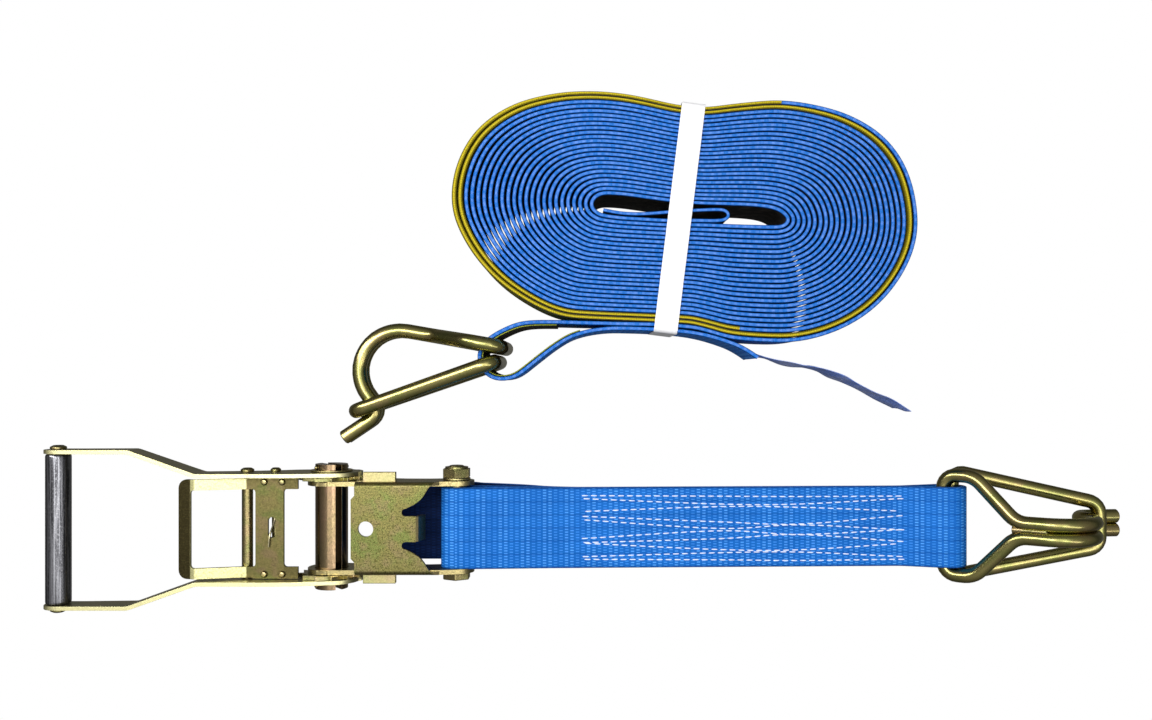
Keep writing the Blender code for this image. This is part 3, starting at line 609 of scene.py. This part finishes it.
def build_ratchet():
    plans = (
        ("cheek", 0.35, "frame"),
        ("ear", 0.35, "frame_pawl"),
        ("dark", 0.8, "anchor_bolt"),
        ("rivet", 0.2, "anchor_washer"),
        ("dark", 0.9, "anchor_nut"),
        ("dark", 0.2, "anchor_sleeve"),
        ("bronze", 0.4, "half_shaft_1 half_shaft_2"),
        ("rivet", 0.2, "ratchet_wheel_left ratchet_wheel_right"),
        ("rivet", 0.15, "spindle_washer_left spindle_washer_right shaft_pin_1_left "
                        "shaft_pin_1_right shaft_pin_2_left shaft_pin_2_right"),
        ("arm", 0.3, "handle_arm_left handle_arm_right"),
        ("dark", 0.2, "grip_rod handle_crossbar pawl_guide_pin"),
        ("loop", 0.3, "drive_pawl"),
        ("rivet", 0, "pawl_stud_1 pawl_stud_2 pawl_stud_3 pawl_stud_4"),
        ("spring", 0, "drive_pawl_spring frame_pawl_spring"),
    )
    pieces = {}
    for look, edge, nodes in plans:
        for node in nodes.split():
            pieces[node] = finished(node, LOOKS[look], edge)
    paint_web(pieces["frame"])
    build_grip()


def paint_web(piece):
    """The flat top of the frame's web takes the darker plate zinc: painted shade for the dim
    reflection its broad flat face shows.
    """
    piece.data.materials.append(LOOKS["plate"])
    top = SPINDLE.z + 16.0 * MM
    for face in piece.data.polygons:
        if face.center.z > top - 0.0004 and face.normal.z > 0.7:
            face.material_index = 1


def build_grip():
    """Tube grip: a drawn tube with rolled ends."""
    low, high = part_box("handle_grip")
    centre = (low + high) / 2
    radius = (high.z - low.z) / 2
    half = (high.y - low.y) / 2
    rolled = ((0.46, 0), (0.86, 0), (0.94, 0.0003), (0.99, 0.0010), (1, 0.0020), (1, 0.012),
              (1, half - 0.015))
    profile = [(radius * share, half - inset) for share, inset in rolled]
    profile += [(r, -y) for r, y in reversed(profile)]
    sides = 48
    verts = []
    for r, y in profile:
        for k in range(sides):
            angle = math.tau * k / sides
            verts.append((centre.x + r * math.cos(angle), centre.y + y,
                          centre.z + r * math.sin(angle)))
    faces = hoops(len(profile), sides, closed=True)
    grip = new_object("handle_grip_tube", verts, faces, [LOOKS["grip"]])
    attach(grip, "handle")
    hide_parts("handle_grip")


# ---- hooks

def hook_frame(letter):
    """Where a hook lies: its x runs from the strap bar to the bend."""
    if letter == "a":
        place = SPINDLE + Vector((385.9, 0, -8.6)) * MM
        turn = Matrix.Rotation(-math.radians(6.3), 3, "Y")
    else:
        place = COIL + Vector((-113.4, -83.3, 36.7)) * MM
        turn = (Matrix.Rotation(math.radians(199.2), 3, "Z")
                @ Matrix.Rotation(math.radians(90), 3, "X"))
    matrix = turn.to_4x4()
    matrix.translation = place
    return matrix


def build_hook(letter):
    """Double J: one wire bent from tip to tip round the strap bar, and the captive keeper."""
    matrix = hook_frame(letter)
    if letter == "a":
        tip, far, heel, wide, ring = 104.0, 107.0, 74.7, 31.1, 33.3
    else:
        tip, far, heel, wide, ring = 102.2, 104.0, 75.4, 29.7, 32.0
    bar_x, bar_z, slope = -6.6, 6.7, 0.5585
    neck, shoulder = 31.5, 9.5
    prong = WIRE_RADIUS - 0.03
    pivot = Vector((bar_x / 2, 0, bar_z / 2))

    def shank(x):
        return bar_z + slope * (x - bar_x)

    def placed(path):
        return [matrix @ ((Vector(p) - pivot) * MM) for p in path]

    half = [(tip, prong, -12.8), (heel, prong, -5.8), (far, prong, 68.5),
            (neck, prong, shank(neck)), (shoulder, wide, shank(shoulder)), (bar_x, wide, bar_z)]
    corners = half + [(x, -y, z) for x, y, z in reversed(half)]
    radii = [0, 8, 24.5, 14, 14, 8]
    path = spread(rounded(corners, radii + radii[::-1]), 2.2)
    hook = tube(f"hook_wire_{letter}", placed(path), WIRE_RADIUS * MM, LOOKS["wire"])
    bead = [(x, 0, shank(x) - 0.6) for x in (29.6, 33.0, 38.0, 43.0, 47.0)]
    weld = tube(f"hook_weld_{letter}", placed(bead), 2.7 * MM, LOOKS["dark"], sides=16)
    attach(weld, f"hook_{letter}")
    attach(hook, f"hook_{letter}")
    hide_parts(f"double_j_hook_{letter}")

    corners = [(0, -ring, 0), (0, ring, 0), (80, 15.7, 0), (89.0, 13.8, 0), (89.0, -13.8, 0),
               (80, -15.7, 0)]
    loop = spread(rounded(corners, [6, 6, 40, 8, 8, 40]), 2.2, closed=True)
    keeper = tube(f"keeper_wire_{letter}", placed(loop), WIRE_RADIUS * MM, LOOKS["wire"],
                  closed=True)
    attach(keeper, f"keeper_{letter}")
    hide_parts(f"keeper_{letter}")


# ---- short strap

def belt_path():
    """Closed centre line of the short strap, in the ratchet's x and z: round both its ends."""
    bolt, pocket = (77.7, -0.3), (385.9, -8.6)
    left, right = Vector((155.9, -2.0)), Vector((355.5, -7.9))
    ply = STRAP_THICKNESS / 2 + 0.03
    near = 6.3 + STRAP_THICKNESS / 2
    far = 9.4 + STRAP_THICKNESS / 2
    off = (right - left).orthogonal().normalized()
    left_out = left + Vector((-14, 0.4))
    path = arc((bolt[0] - 1.0, bolt[1]), near + 0.5, 84, 273, 22)
    path += [tuple(left_out - off * (ply + 0.5))]
    path += [tuple(left.lerp(right, i / 8) - off * ply) for i in range(9)]
    path += arc(pocket, far, -108, 105, 26)
    path += [tuple(right.lerp(left, i / 8) + off * ply) for i in range(9)]
    path += [tuple(left_out + off * (ply + 0.5))]
    return path


def laid_flat(points, ahead, aside):
    """Centres and directions of a strap whose path is in the ratchet's x and z, moved aside
    in y."""
    ahead = unit(ahead)
    x, y, z = np.array(SPINDLE) / MM
    centres = np.column_stack([points[:, 0] + x, y + aside, points[:, 1] + z])
    across = np.column_stack([-ahead[:, 1], np.zeros(len(points)), ahead[:, 0]])
    return centres, across, np.tile([0.0, 1.0, 0.0], (len(points), 1))


def build_short_strap():
    points = spread(belt_path(), 1.6, closed=True)
    for _ in range(5):
        points = (np.roll(points, 1, 0) + points * 2 + np.roll(points, -1, 0)) / 4
    ahead = np.roll(points, -1, 0) - np.roll(points, 1, 0)
    aside = np.interp(points[:, 0], (70, 150, 386), (-0.7, -1.4, -1.1))
    centres, across, up = laid_flat(points, ahead, aside)
    strap = ribbon("short_strap", centres, across, up, STRAP_WIDTH + 0.2, STRAP_THICKNESS,
                   [LOOKS["webbing"], LOOKS["webbing_rim"]], closed=True, rows=12)
    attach(strap, "ratchet_base")
    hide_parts("short_webbing")
    build_stitching(centres)


def build_stitching(centres):
    """Rows of lock stitches that sew both plies together: long shallow zigzags. Each row gives
    its distance aside at the four stations along the strap."""
    stations = (157.4, 241.5, 291.0, 355.5)
    rows = ((18.6, 18.0, 17.6, 17.7), (16.7, 13.1, 12.9, 16.1), (8.8, 11.5, 10.9, 8.3),
            (5.7, 2.0, 0.4, 5.4), (3.5, -2.1, -0.1, -3.4), (-8.0, -3.6, -6.1, -3.4),
            (-10.6, -8.5, -6.2, -10.7), (-11.0, -15.3, -15.7, -12.1),
            (-19.3, -17.3, -17.1, -20.2), (-21.0, -21.7, -22.4, -21.9))
    pitch, stitch, radius, sides = 5.62, 4.1, 0.37, 8
    # One stitch's rings: share of its length, swell of its section and lift off the ply.
    rings = ((-0.5, 0.15, -0.5), (-0.42, 0.72, -0.15), (-0.2, 1.0, 0.12),
             (0.2, 1.0, 0.12), (0.42, 0.72, -0.15), (0.5, 0.15, -0.5))
    middle = np.interp(centres[:, 0], (-100, 250), (21.1, 10.7))
    upper, lower = (tuple(zip(*sorted(map(tuple, centres[ply][:, ::2]))))
                    for ply in (centres[:, 2] > middle, centres[:, 2] < middle))
    left, front = SPINDLE.x / MM, SPINDLE.y / MM
    verts, faces = [], []
    for number, row in enumerate(rows):
        start = stations[0] + (number * 7 % 5) * 0.55
        count = int((stations[-1] + 0.5 - start) / pitch) + 1
        xs, ys = zip(*smooth(list(zip(stations, row)), 16))
        for centre in (start + i * pitch for i in range(count)):
            for side, ply in ((1, upper), (-1, lower)):
                faces += hoops(len(rings), sides, base=len(verts))
                for share, swell, lift in rings:
                    x = centre + share * stitch
                    y = front + float(np.interp(x, xs, ys))
                    z = float(np.interp(x + left, *ply))
                    z += side * (STRAP_THICKNESS / 2 + lift * radius)
                    for k in range(sides):
                        angle = math.tau * k / sides
                        verts.append(((x + left) * MM,
                                      (y + math.cos(angle) * radius * swell) * MM,
                                      (z + math.sin(angle) * radius * swell * 0.8) * MM))
    thread = new_object("strap_stitching", verts, faces, [LOOKS["thread"]])
    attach(thread, "ratchet_base")


def build_tail():
    """The strap's loose tail that lies on the ground under the frame and comes up to the seam."""
    floor = STRAP_THICKNESS / 2 - AXLE_HEIGHT + 0.05
    route = [(31.9, floor), (60, floor), (90, floor), (118, floor + 1.5), (140, -10.0),
             (154, -7.0)]
    points = spread(smooth(route, 8), 1.8)
    aside = np.interp(points[:, 0], (80, 92, 132), (1.1, -0.2, -1.7))
    centres, across, up = laid_flat(points, np.gradient(points, axis=0), aside)
    # The tail's navy look is painted shade.
    tail = ribbon("strap_tail", centres, across, up, STRAP_WIDTH, STRAP_THICKNESS - 0.1,
                  [LOOKS["navy_painted_shade"], LOOKS["webbing_rim"]], rows=8)
    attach(tail, "ratchet_base")
    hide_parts("webbing_tail")


# ---- long strap

def coil_outlines():
    """Outer and inner boundary of the winding as open spirals from the middle of the bottom,
    each in five runs that match: to the right bend, round it, along the top, round the left and
    back to the middle."""
    outer = (
        [(0.0, -67.4), (11.5, -70.5), (25.5, -74.3), (47.5, -76.0)],
        [(65.5, -75.5), (87.0, -69.5), (107.0, -58.0), (123.0, -41.0),
         (133.5, -20.0), (135.5, 1.0), (129.5, 26.5), (116.0, 46.0), (95.5, 59.0), (73.5, 65.5),
         (54.0, 68.0)],
        [(36.5, 67.0), (22.5, 65.5), (10.5, 64.0), (-0.5, 64.5), (-11.0, 66.0),
         (-24.0, 69.0), (-39.5, 72.0), (-59.0, 73.5)],
        [(-81.5, 72.0), (-106.5, 65.0), (-127.5, 50.0), (-139.5, 28.0),
         (-141.5, 3.5), (-131.5, -19.5), (-115.5, -38.5), (-95.5, -52.5), (-77.0, -60.5),
         (-60.5, -62.2)],
        [(-41.5, -63.0), (-17.5, -64.0), (0.0, -65.0)])
    inner = (
        [(0.0, -4.7), (12.0, -5.0), (24.0, -5.4), (37.0, -5.8), (49.0, -6.0)],
        [(54.2, -5.6), (56.6, -3.6), (56.0, -0.8), (51.8, 1.9), (45.4, 3.7)],
        [(37.5, 4.6), (24.0, 5.2), (2.7, 5.9), (-12.3, 7.4), (-25.8, 9.2),
         (-37.0, 10.8), (-48.5, 11.6)],
        [(-53.8, 10.4), (-56.5, 7.4), (-56.0, 3.8), (-51.5, 0.9)],
        [(-41.6, -0.6), (-29.7, -1.3), (-14.7, -2.2), (0.0, -2.5)])
    return outer, inner


def coil_path():
    """Centre line of the winding in the coil's x and y, from its outside end inwards, with the
    turn number and the room for one layer at every point."""
    outer, inner = coil_outlines()
    shares, fine = (24, 70, 40, 70, 16), 10
    bounds = []
    for runs in (outer, inner):
        dense = smooth(sum(runs, []), fine)
        pieces, end = [], -fine
        for run, count in zip(runs, shares):
            start, end = max(end, 0), end + len(run) * fine
            pieces.append(resample(dense[start:end + 1],
                                   np.linspace(0, 1, count, endpoint=False)))
        bounds.append(np.vstack(pieces))
    outside, inside = bounds
    total = len(outside)
    layer, at = np.divmod(np.arange((TURNS + 1) * total), total)
    depth = ((layer + 0.5) / TURNS)[:, None]
    points = outside[at] * (1 - depth) + inside[at] * depth
    pitches = np.linalg.norm(outside - inside, axis=1)[at] / TURNS
    stop = np.argmax((layer == TURNS) & (points[:, 0] > 15.5))
    return points[:stop], (layer + at / total)[:stop], pitches[:stop]


def even_out(points, times):
    for _ in range(times):
        inner = (points[:-2] + points[1:-1] * 2 + points[2:]) / 4
        points = np.vstack([points[:1], inner, points[-1:]])
    return points


def averaged(values, reach):
    """Each value's mean with its neighbours up to reach away on both sides."""
    count = 2 * reach + 1
    return np.convolve(np.pad(values, reach, "edge"), np.ones(count) / count, "valid")


def loop_rise(x):
    """How far the end loop climbs where it meets the hook."""
    share = np.clip((-x - 62) / 46, 0, 1)
    return 11.0 * share * share * (3 - 2 * share)


def horizontal_normals(points):
    ahead = unit(np.gradient(points, axis=0))
    return np.stack([ahead[:, 1], -ahead[:, 0], np.zeros(len(points))], 1)


def build_long_strap():
    """From its cut end past the hook's loop into the coil, and to the inner end in the slot.
    Along it, layers is below 0 before the winding and counts the turns within it."""
    points, turns, pitches = coil_path()
    lead = smooth([(40.3, -84.8), (35.0, -81.2), (29.0, -77.9), (19.5, -74.4), (7.8, -71.2),
                   (-5.5, -69.2), (-22.5, -68.0), (-41.5, -67.5), (-49.0, -67.7),
                   (-60.0, -69.2), (-71.0, -72.6), (-82.0, -79.6), (-93.0, -88.3),
                   (-102.5, -95.6), (-110.0, -97.6),
                   (-117.0, -96.5), (-122.0, -92.0), (-124.2, -86.0), (-123.0, -79.0),
                   (-117.5, -73.4), (-109.0, -68.6), (-98.5, -64.9), (-82.0, -64.0),
                   (-60.0, -64.3), (-41.5, -64.8), (-20.0, -65.2)], 7)
    lead = spread(lead, 1.9)
    end = smooth([tuple(points[-1]), (20.0, -3.2), (22.6, -2.1), (23.3, -0.2), (22.2, 1.9),
                  (18.0, 3.0), (2.0, 2.5), (-13.0, 1.5), (-22.0, 0.8), (-30.0, 0.4),
                  (-39.0, 0.7), (-45.5, 1.6), (-51.5, 2.8)], 8)[1:]
    end = spread(end, 1.3)
    layers = np.concatenate([np.full(len(lead), -1.0), turns, np.full(len(end), TURNS + 0.5)])
    room = np.concatenate([np.full(len(lead), 3.0), pitches, np.full(len(end), 2.4)])
    path = even_out(np.vstack([lead, points, end]), 4)
    thick = averaged(np.minimum(2.45, room * 0.88), 6)
    rise = np.where(layers < 0, loop_rise(path[:, 0]), 0.0)
    drift = 0.28 * np.sin(layers * 5.1 + 0.6) + 0.18 * np.sin(layers * 2.3)
    drift = averaged(np.where(layers < 0, 0.0, drift), 12)
    normals = horizontal_normals(path)
    up = np.tile([0.0, 0.0, 1.0], (len(path), 1))
    lift = 0.8 + STRAP_WIDTH / 2 + rise + drift
    centres = np.column_stack([path + np.array(COIL)[:2] / MM, lift])

    def slim(a, b, station):
        """The body between the selvedges is thinner than they are."""
        inner = (np.abs(b) < 0.47) * a * -0.30
        return (normals * thick[:, None])[:, None, :] * np.broadcast_to(
            inner, (len(normals), inner.shape[1]))[:, :, None]

    strap = ribbon("long_strap", centres, normals, up, STRAP_WIDTH, thick,
                   [LOOKS["webbing"], LOOKS["webbing_rim"], LOOKS["wound"]], rows=12,
                   relief=slim)
    paint_shade_between_turns(strap, layers, normals)
    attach(strap, "long_strap_coil")
    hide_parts("webbing_coil", "webbing_end_loop")
    inside = (layers >= SLEEVE_TURNS[0]) & (layers <= SLEEVE_TURNS[1])
    build_sleeve(centres[inside], normals[inside], thick[inside], room[inside])
    build_lining(path, normals, layers, thick, lift)


def paint_shade_between_turns(strap, layers, normals):
    """Gives the faces that lie between two turns, and the slot's inner wall, the dark third look,
    a painted shade: only the lead and the outer face of the outermost turn keep the webbing.
    """
    polygons = strap.data.polygons
    marks = np.zeros(len(polygons), int)
    polygons.foreach_get("material_index", marks)
    facing = np.zeros(len(marks) * 3)
    polygons.foreach_get("normal", facing)
    sides = len(strap_profile(12))
    station = np.minimum(np.arange(len(marks)) // sides, len(layers) - 1)
    outward = (facing.reshape(-1, 3)[:, :2] * normals[station][:, :2]).sum(1) > 0
    open_air = (layers[station] < 0) | ((layers[station] < 1.05) & outward)
    # Painted shade on every webbing face that is out of the open air.
    marks[(marks == 0) & ~open_air] = 2
    polygons.foreach_set("material_index", marks)


def build_sleeve(centres, normals, thick, room):
    """Wear sleeve: a flat tube of woven cloth that the strap runs through."""
    outer = np.minimum(3.2, room * 0.955)
    wall = np.maximum((outer - thick) / 2 - 0.04, 0.05)
    high, low = STRAP_WIDTH / 2 + 0.62, STRAP_WIDTH / 2 + 0.22
    count = len(centres)
    section = ((0.5, -0.46), (0.5, 0.46), (0.36, 0.492), (0.0, 0.5), (-0.36, 0.492),
               (-0.5, 0.46), (-0.5, -0.46), (-0.36, -0.492), (0.0, -0.5), (0.36, -0.492))
    sides = len(section)
    verts = np.zeros((count, 2 * sides, 3))
    for k, (a, b) in enumerate(section):
        for at, depth, reach in ((k, outer, high), (sides + k, outer - 2 * wall, low)):
            verts[:, at] = centres + normals * (depth * a)[:, None]
            verts[:, at, 2] += b * 2 * reach
    run = distances(centres) * MM
    faces, marks, uvs = [], [], []
    wide = 2 * sides
    for i in range(count - 1):
        for k in range(sides):
            n = (k + 1) % sides
            rim = k not in (0, 5)
            value = {q: section[q][0] * 2 if rim else section[q][1] * STRAP_WIDTH * MM
                     for q in (k, n)}
            for p, q, skin, mark in ((k, n, 0, int(rim)), (n, k, sides, 0)):
                here, there = i * wide + skin, (i + 1) * wide + skin
                faces.append((here + p, there + p, there + q, here + q))
                marks.append(mark)
                uvs += [(run[i], value[p]), (run[i + 1], value[p]), (run[i + 1], value[q]),
                        (run[i], value[q])]
    for i, turn in ((0, 1), (count - 1, -1)):
        here, skin = i * wide, i * wide + sides
        for k in range(sides):
            n = (k + 1) % sides
            faces.append((here + k, here + n, skin + n, skin + k)[::turn])
            marks.append(1)
            uvs += [(run[i], 0.0)] * 4
    sleeve = new_object("wear_sleeve", verts.reshape(-1, 3) * MM, faces,
                        [LOOKS["sleeve"], LOOKS["sleeve_rim"]], marks, uvs, 50)
    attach(sleeve, "long_strap_coil")


def build_lining(path, normals, layers, thick, lift):
    """Wear lining: a thinner strip sewn inside the end loop where the hook's wire rubs."""
    left = np.argmin(path[layers < 0, 0])
    start = next(i for i in range(left, 0, -1) if path[i, 0] > -66.2)
    stop = next(i for i in range(left, len(path)) if path[i, 0] > -78.4)
    span = slice(start, stop)
    offset = thick[span] / 2 + 0.50
    from_middle = path[span] - path[span].mean(0)
    inward = 1.0 if (from_middle * normals[span, :2]).sum() < 0 else -1.0
    place = path[span] + normals[span, :2] * (inward * offset)[:, None]
    points = np.column_stack([place + np.array(COIL)[:2] / MM, lift[span]])
    up = np.tile([0.0, 0.0, 1.0], (len(points), 1))
    strip = ribbon("loop_lining", points, normals[span], up, STRAP_WIDTH - 0.4, 0.75,
                   [LOOKS["lining"], LOOKS["lining_rim"]], rows=1, soft=0.3)
    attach(strip, "long_strap_coil")


def build_band():
    """White plastic band round the coil's waist, creased where it turns over the edges."""
    turn = Matrix.Rotation(math.radians(-97.1), 3, "Z")
    centre = COIL / MM + Vector((-5.9, 0.5, 0))
    low, high = 0.25, STRAP_WIDTH + 0.8 + 0.75
    corners = [(-66.3, low), (71.2, low), (71.2, high), (-66.3, high)]
    path = spread(rounded(corners, [2.2] * 4, steps=6), 2.0, closed=True)
    path[:, 1] += 0.22 * np.sin(path[:, 0] / 9.0) * (path[:, 1] > 40)
    ahead = unit(np.roll(path, -1, 0) - np.roll(path, 1, 0))
    centres = [turn @ Vector((u, 0, z)) + centre for u, z in path]
    across = [turn @ Vector((-dz, 0, du)) for du, dz in ahead]
    up = [turn @ Vector((0, 1, 0))] * len(centres)
    band = ribbon("retaining_strip", centres, across, up, 14.0, 0.5,
                  [LOOKS["band"], LOOKS["band"]], closed=True, rows=4, soft=1.2)
    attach(band, "long_strap_coil")
    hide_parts("retaining_band")


def build_label():
    """Thin label tape, standing on edge at the strap's end and waving a little."""
    top = [(40.2, -82.6), (46.0, -84.5), (52.4, -86.0), (61.9, -87.8), (68.7, -89.4),
           (76.9, -90.6), (85.1, -92.6), (94.6, -95.9), (101.4, -100.3), (110.9, -105.3),
           (121.8, -109.7), (133.8, -117.0)]
    bottom = [(40.2, -82.6), (46.0, -83.9), (52.4, -84.9), (62.0, -88.6), (69.0, -90.2),
              (76.9, -90.7), (85.1, -92.9), (92.0, -96.8), (101.4, -99.9), (110.5, -104.2),
              (122.5, -111.0), (133.4, -116.4)]
    high = spread(smooth(top, 8), 1.2)
    low = resample(smooth(bottom, 8), np.linspace(0, 1, len(high)))
    offset = COIL / MM
    high = np.column_stack([high + (offset.x, offset.y), np.full(len(high), 43.5)])
    low = np.column_stack([low + (offset.x, offset.y), np.full(len(high), 5.0)])
    width = np.linalg.norm(high - low, axis=1)
    up = (high - low) / width[:, None]
    ahead = np.gradient((high + low) / 2, axis=0)
    across = unit(np.cross(ahead, up))

    def wave(a, b, station):
        """Soft sideways waves of the tape between its edges."""
        swell = (0.7 * np.sin(station * 0.155 + b * 2.2) + 0.45 * np.sin(station * 0.34 - b * 4))
        room = np.clip((station - 4) / 8, 0, 1) * np.cos(b * math.pi * 0.92)
        return across[:, None, :] * (swell * room)[:, :, None]

    label = ribbon("label_strip", (high + low) / 2, across, up, width, 0.3,
                   [LOOKS["label"], LOOKS["label"]], rows=8, soft=0.2, relief=wave)
    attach(label, "long_strap_coil")
    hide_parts("label_tape")


# ---- studio

def build_studio():
    """Camera, white ground seen only by the camera, a graded sky and three soft lights."""
    scene = bpy.context.scene
    camera_data = bpy.data.cameras.new("camera")
    camera_data.sensor_width = 36
    camera_data.lens = 33.55
    camera_data.shift_y = 0.0126
    camera_data.clip_start = 0.01
    camera = bpy.data.objects.new("camera", camera_data)
    camera.location = (-0.0106, -0.0117, 0.688)
    scene.collection.objects.link(camera)
    scene.camera = camera

    bpy.ops.mesh.primitive_plane_add(size=40, location=(0, 0, -0.2))
    floor = bpy.context.object
    floor.name = "floor"
    look = Look("floor_white")
    look.tree.nodes.remove(look.shader)
    glow = look.node("ShaderNodeEmission", {"Color": (1, 1, 1, 1), "Strength": 1.0})
    look.put(look.tree.nodes["Material Output"].inputs["Surface"], glow.outputs[0])
    floor.data.materials.append(look.material)
    for ray in ("diffuse", "glossy", "shadow", "transmission"):
        setattr(floor, "visible_" + ray, False)

    world = bpy.data.worlds.new("studio")
    scene.world = world
    world.use_nodes = True
    nodes, link = world.node_tree.nodes, world.node_tree.links.new
    split = nodes.new("ShaderNodeSeparateXYZ")
    link(nodes.new("ShaderNodeTexCoord").outputs["Generated"], split.inputs[0])
    height = nodes.new("ShaderNodeMapRange")
    height.inputs[1].default_value = -1.0
    link(split.outputs[2], height.inputs[0])
    ramp = nodes.new("ShaderNodeValToRGB")
    link(height.outputs[0], ramp.inputs[0])
    stops = ramp.color_ramp.elements
    stops[0].position, stops[0].color = 0.0, (0.16, 0.16, 0.15, 1)
    stops[1].position, stops[1].color = 1.0, (0.70, 0.70, 0.70, 1)
    for position, value in ((0.42, 0.06), (0.52, 0.16), (0.66, 0.20), (0.84, 0.34),
                            (0.93, 0.55)):
        stops.new(position).color = (value, value, value * 1.01, 1)
    background = nodes["Background"]
    link(ramp.outputs[0], background.inputs[0])
    background.inputs[1].default_value = 1.0

    lights = (
        ("key", (-0.72, 0.30, 1.00), (0.34, 1.5), 13.0),
        ("fill", (0.75, -0.35, 1.25), (0.35, 1.2), 3.0),
        ("top", (0.0, 0.1, 1.9), (1.6, 1.2), 9.0),
    )
    for name, place, size, power in lights:
        data = bpy.data.lights.new(name, "AREA")
        data.shape = "RECTANGLE"
        data.size, data.size_y = size
        data.energy = power
        light = bpy.data.objects.new(name, data)
        light.location = place
        aim = Vector((0, -0.02, 0)) - Vector(place)
        light.rotation_euler = aim.to_track_quat("-Z", "Y").to_euler()
        scene.collection.objects.link(light)
    scene.view_settings.view_transform = "Standard"
    scene.view_settings.look = "None"


build_studio()
build_ratchet()
build_hook("a")
build_hook("b")
build_short_strap()
build_tail()
build_long_strap()
build_band()
build_label()
